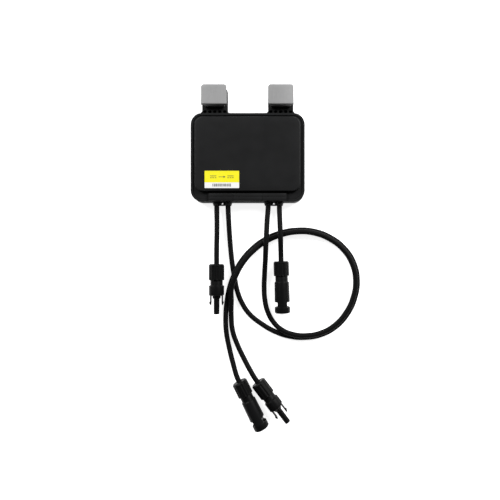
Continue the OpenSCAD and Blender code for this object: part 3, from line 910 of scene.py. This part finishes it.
def ribs(depth, first, last, count=12, inner=8.2):
    """A radius that dips into grooves between u first and last, on the outside only."""
    def shape(u, r, angle):
        if r < inner or not first <= u <= last:
            return r
        wave = math.cos(count * angle - math.pi)
        ease = min(1, (u - first) / 1.2, (last - u) / 0.6 + 0.35)
        return r - depth * ease * max(0, wave + 0.25) ** 1.3 / 1.25
    return shape


def make_nut(name, length):
    """Ribbed cap nut with a lead-in round the cable and a threaded cavity."""
    bore, end_wall = 3.6, 3
    outer = rounded(
        [
            (0, bore), (0, 8.0), (1.5, NUT_R), (length - 0.5, NUT_R), (length, NUT_R - 0.6),
            (length, THREAD_R),
        ],
        [0.5, 0.8, 0.8, 0.2, 0.2, 0.2], 4, closed=False,
    )
    fine = []
    longest = 0.6
    for (u, r), (next_u, next_r) in zip(outer, outer[1:]):
        steps = max(1, int(abs(next_u - u) / longest))
        for k in range(steps):
            fine.append((u + (next_u - u) * k / steps, r + (next_r - r) * k / steps))
    fine.append(outer[-1])
    threads = []
    crest, root = THREAD_R + 0.02, THREAD_R + 0.3
    u = length - 0.8
    while u > end_wall + 1.2:
        threads += [(u, crest), (u - 0.6, root), (u - 1.2, root), (u - 1.7, crest)]
        u -= PITCH
    profile = fine + threads + [(end_wall, THREAD_R), (end_wall, bore)]
    made = lathe(name + "_cap", profile, 144, closed=True, shape=ribs(0.55, 1.6, length - 0.3))
    return place_piece(made, name, "connector", name + "_nut", name + "_nut")


def place_piece(made, name, material, body, *nodes):
    """Moves a piece drawn along X to its connector, and finishes it."""
    made.data.transform(connector_place(name))
    made.data.update()
    return finish_piece(made, material, body, *nodes)


def spigot(neck):
    """The threaded end that both housings share, from its inside out."""
    threads = []
    root, crest = SPIGOT_R, THREAD_R - 0.06
    u = 10.2
    while u < neck - 2.2:
        threads += [(u, root), (u + 0.5, crest), (u + 1.0, crest), (u + 1.5, root)]
        u += PITCH
    return [(9.2, CAVITY_R), (9.0, 5.2), (9.0, 6.5), (9.4, root), *threads]


def make_plug_housing(name):
    """The plug's body: spigot, ribbed grip with two windows, nose with a groove, and tube."""
    neck, grip_r, nose, nose_r, mouth_r = 20.2, 9.4, 39, 4.9, 2.2
    groove, groove_end, groove_r, tip = 39.6, 40.8, 3.95, 62.2
    outer = spigot(neck) + rounded(
        [
            (neck, SPIGOT_R), (neck, 7.6), (26.2, 7.6), (27.2, grip_r), (38.3, grip_r),
            (nose, 8.6), (nose, nose_r), (groove, nose_r), (groove, groove_r),
            (groove_end, groove_r), (groove_end, nose_r), (41.6, nose_r), (43.5, TUBE_R),
            (tip - 0.6, TUBE_R), (tip, 3.0), (tip, mouth_r),
        ],
        [0, 0.3, 0.5, 0.6, 0.5, 0.4, 0.2, 0.1, 0.1, 0.1, 0.1, 0.3, 0.6, 0.3, 0.2, 0.1],
        3, closed=False,
    )
    inner = [(45.5, mouth_r), (45.5, CONTACT_R), (24, CONTACT_R), (24, CAVITY_R)]
    made = lathe(
        name + "_body", outer + inner, 96, closed=True, shape=ribs(0.3, 28.6, 37.6, 24, 9.2),
    )
    cutters = []
    for sign in (-1, 1):
        v0, v1 = sorted((sign * 5.2, sign * 10.5))
        cutters.append(block("cutter", (28.9, v0, -3.1), (42, v1, 3.1), SHARP, 0.4))
    combine(made, cutters=cutters)
    return place_piece(made, name, "connector", "box", name + "_housing")


def make_socket_housing(name):
    """The socket's body: spigot, tapered grip with two latch windows, and a stepped mouth."""
    neck, neck_r, tip, mouth_r, bore = 18.4, 7.75, 64.2, 5.4, 3.6
    outer = spigot(neck) + rounded(
        [
            (neck, SPIGOT_R), (neck, neck_r), (25, neck_r), (26.2, 9.0), (50.4, 9.4),
            (56.5, 9.4), (57, NUT_R), (tip - 1, NUT_R), (tip, 8.6), (tip, mouth_r),
            (tip - 5, mouth_r), (58.8, bore), (40, bore), (40, CONTACT_R), (24, CONTACT_R),
            (24, CAVITY_R),
        ],
        [0, 0.3, 0.6, 0.8, 0.1, 0.1, 0.1, 0.6, 0.5, 0.4, 0.1, 0.2, 0.1, 0.1, 0.1, 0.1],
        3, closed=False,
    )
    made = lathe(name + "_body", outer, 96, closed=True, shape=ribs(0.25, 28, 36, 24, 8.9))
    cutters = []
    window = [(48.9, 10.6), (50.2, 9.0), (50.4, 5.85), (56.6, 5.85), (56.8, 9.0), (58.1, 10.6)]
    window = rounded(window, [0, 1.0, 0.9, 0.9, 1.0, 0], 4)
    for sign in (-1, 1):
        flat = [(u, sign * v) for u, v in window]
        cutters.append(prism("cutter", flat if sign < 0 else flat[::-1], -12, 12, 0))
        v0, v1 = sorted((sign * 5.6, sign * 8.5))
        cutters.append(block("cutter", (55, v0, -3.1), (66, v1, 3.1), SHARP, 0.4))
    combine(made, cutters=cutters)
    return place_piece(made, name, "connector", "box", name + "_housing")


def make_latch(name, letter, sign):
    """A latch arm: a thin beam with a ramped barb, swung on its root."""
    outline = rounded(
        [
            (29.4, 6.1), (31.4, 6.1), (32.4, 6.55), (47.6, 6.55), (50.7, 6.9), (50.7, 7.5),
            (48.3, 8.6), (46.9, 8.7), (46.7, 7.75), (32.4, 7.75), (31.4, 8.2), (29.4, 8.2),
        ],
        [1, 0.5, 1, 1, 0.3, 0.3, 0.5, 0.2, 0.2, 1, 0.5, 1], 4,
    )
    made = prism(name + "_arm_" + letter, outline, -2.8, 2.8, 0.25)
    if sign < 0:
        made.data.transform(Matrix.Rotation(math.pi, 4, "X"))
    node = name + "_latch_" + letter
    return place_piece(made, name, "connector", node, node)


def make_ring(name):
    """The O-ring in the nose's groove."""
    middle, wide, thick = 40.25, 4.5, 0.55
    profile = []
    for degrees in range(0, 360, 30):
        a = math.radians(degrees)
        profile.append((middle + thick * math.cos(a), wide + thick * math.sin(a)))
    made = lathe(name + "_o_ring", profile, 64, closed=True)
    return place_piece(made, name, "seal", "box", name + "_ring")


PLUG_NUT, SOCKET_NUT = 20, 18.2
for connector in ROUTES:
    if connector.endswith("plug"):
        make_nut(connector, PLUG_NUT)
        make_plug_housing(connector)
        make_ring(connector)
        make_latch(connector, "a", 1)
        make_latch(connector, "b", -1)
    else:
        make_nut(connector, SOCKET_NUT)
        make_socket_housing(connector)


# ---------------------------------------------------------------- CAD nodes that stay

KEPT = {
    "cover_seal": "seal", "circuit_board": "board", "board_screws": "fastener",
    "thermal_pad": "pad", "heat_spreader": "spreader", "inductor_cores": "ferrite",
    "inductor_coils": "copper", "capacitors": "capacitor", "power_transistors": "component",
    "bypass_diode": "component", "control_chip": "component", "radio_module": "can",
    "cable_terminals": "terminal",
}
for connector in ROUTES:
    KEPT[connector + "_collar"] = "collar"
    KEPT[connector + "_seal"] = "seal"
    KEPT[connector + "_contact"] = "terminal"
for kept_node, kept_material in KEPT.items():
    piece = NODES[kept_node]
    piece.data.materials.clear()
    piece.data.materials.append(MATERIALS[kept_material])


# ---------------------------------------------------------------- studio

def make_floor():
    """A plain pale floor just below the object, glowing so that shadows on it stay faint."""
    mesh = bpy.data.meshes.new("floor")
    mesh.from_pydata([(-4, -4, 0), (4, -4, 0), (4, 4, 0), (-4, 4, 0)], [], [(0, 1, 2, 3)])
    floor = new_object("floor", mesh)
    floor.location.z = -0.0002
    g = Graph("floor_paper")
    tone = g.mix(g.noise(3, 2), grey(0.86), grey(0.88))
    g.shade(base_color=tone, roughness=0.9, emission_color=grey(1), emission_strength=0.85)
    floor.data.materials.append(g.material)


def make_lamp(name, place, power):
    """A square lamp of 1.6 m that looks at the object's middle."""
    target = (0.02, -0.1, 0)
    data = bpy.data.lights.new(name, "AREA")
    data.shape = "SQUARE"
    data.size = 1.6
    data.energy = power
    lamp = bpy.data.objects.new(name, data)
    lamp.location = place
    lamp.rotation_mode = "QUATERNION"
    lamp.rotation_quaternion = (Vector(target) - Vector(place)).to_track_quat("-Z", "Y")
    bpy.context.scene.collection.objects.link(lamp)


def make_world(level):
    """Dim light from all round, and a white backdrop where the camera looks past the floor."""
    world = bpy.data.worlds.new("studio")
    world.use_nodes = True
    tree = world.node_tree
    backdrop = tree.nodes["Background"]
    backdrop.inputs["Color"].default_value = grey(1)
    seen = tree.nodes.new("ShaderNodeMapRange")
    seen.inputs["To Min"].default_value = level
    path = tree.nodes.new("ShaderNodeLightPath")
    tree.links.new(path.outputs["Is Camera Ray"], seen.inputs["Value"])
    tree.links.new(seen.outputs["Result"], backdrop.inputs["Strength"])
    bpy.context.scene.world = world


make_floor()
make_lamp("key", (1.9, 1.6, 1.8), 104)
make_lamp("fill", (-1.9, 1.6, 1.8), 70)
make_world(0.06)
bpy.context.scene.view_settings.view_transform = "Standard"
